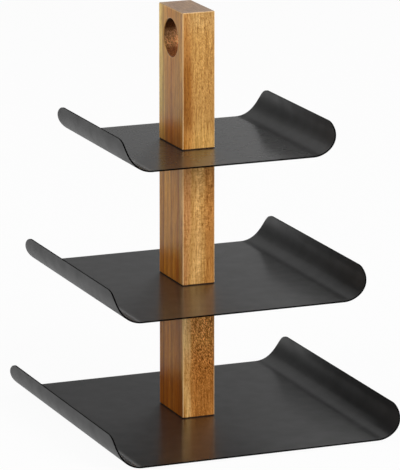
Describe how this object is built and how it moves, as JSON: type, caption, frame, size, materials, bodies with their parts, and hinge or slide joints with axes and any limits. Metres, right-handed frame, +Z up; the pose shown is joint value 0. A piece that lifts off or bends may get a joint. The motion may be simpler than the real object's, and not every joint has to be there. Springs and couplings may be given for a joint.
{
  "type": "tiered serving stand",
  "caption": "Tiered serving stand: black sheet-metal trays with turned-up side lips, clamped between the blocks of a rectangular wooden post with a finger hole at the top.",
  "frame": {"origin": "on the table under the centre of the bottom tray, which is the centre of the stand's footprint", "axes": "+Z up along the post, X across the two lips with -X the left side, -Y the front"},
  "size_m": [0.29, 0.3, 0.401],
  "materials": {
    "black_coat": "satin black powder coat with a fine texture",
    "acacia": "oiled hardwood with vertical grain and eased edges",
    "steel": "zinc-plated steel",
    "brass": "turned brass",
    "rubber": "matt black rubber"
  },
  "bodies": {
    "root": {"bottom_tray": "black_coat", "middle_tray": "black_coat", "top_tray": "black_coat", "lower_block": "acacia", "middle_block": "acacia", "upper_block": "acacia", "lower_foot_insert": "brass", "lower_head_insert": "brass", "middle_foot_insert": "brass", "middle_head_insert": "brass", "upper_foot_insert": "brass", "middle_stud": "steel", "top_stud": "steel", "base_bolt": "steel", "bottom_pin_front": "steel", "bottom_pin_back": "steel", "middle_pin_front": "steel", "middle_pin_back": "steel", "top_pin_front": "steel", "top_pin_back": "steel", "foot_front_left": "rubber", "foot_front_right": "rubber", "foot_back_left": "rubber", "foot_back_right": "rubber"}
  },
  "joints": []
}
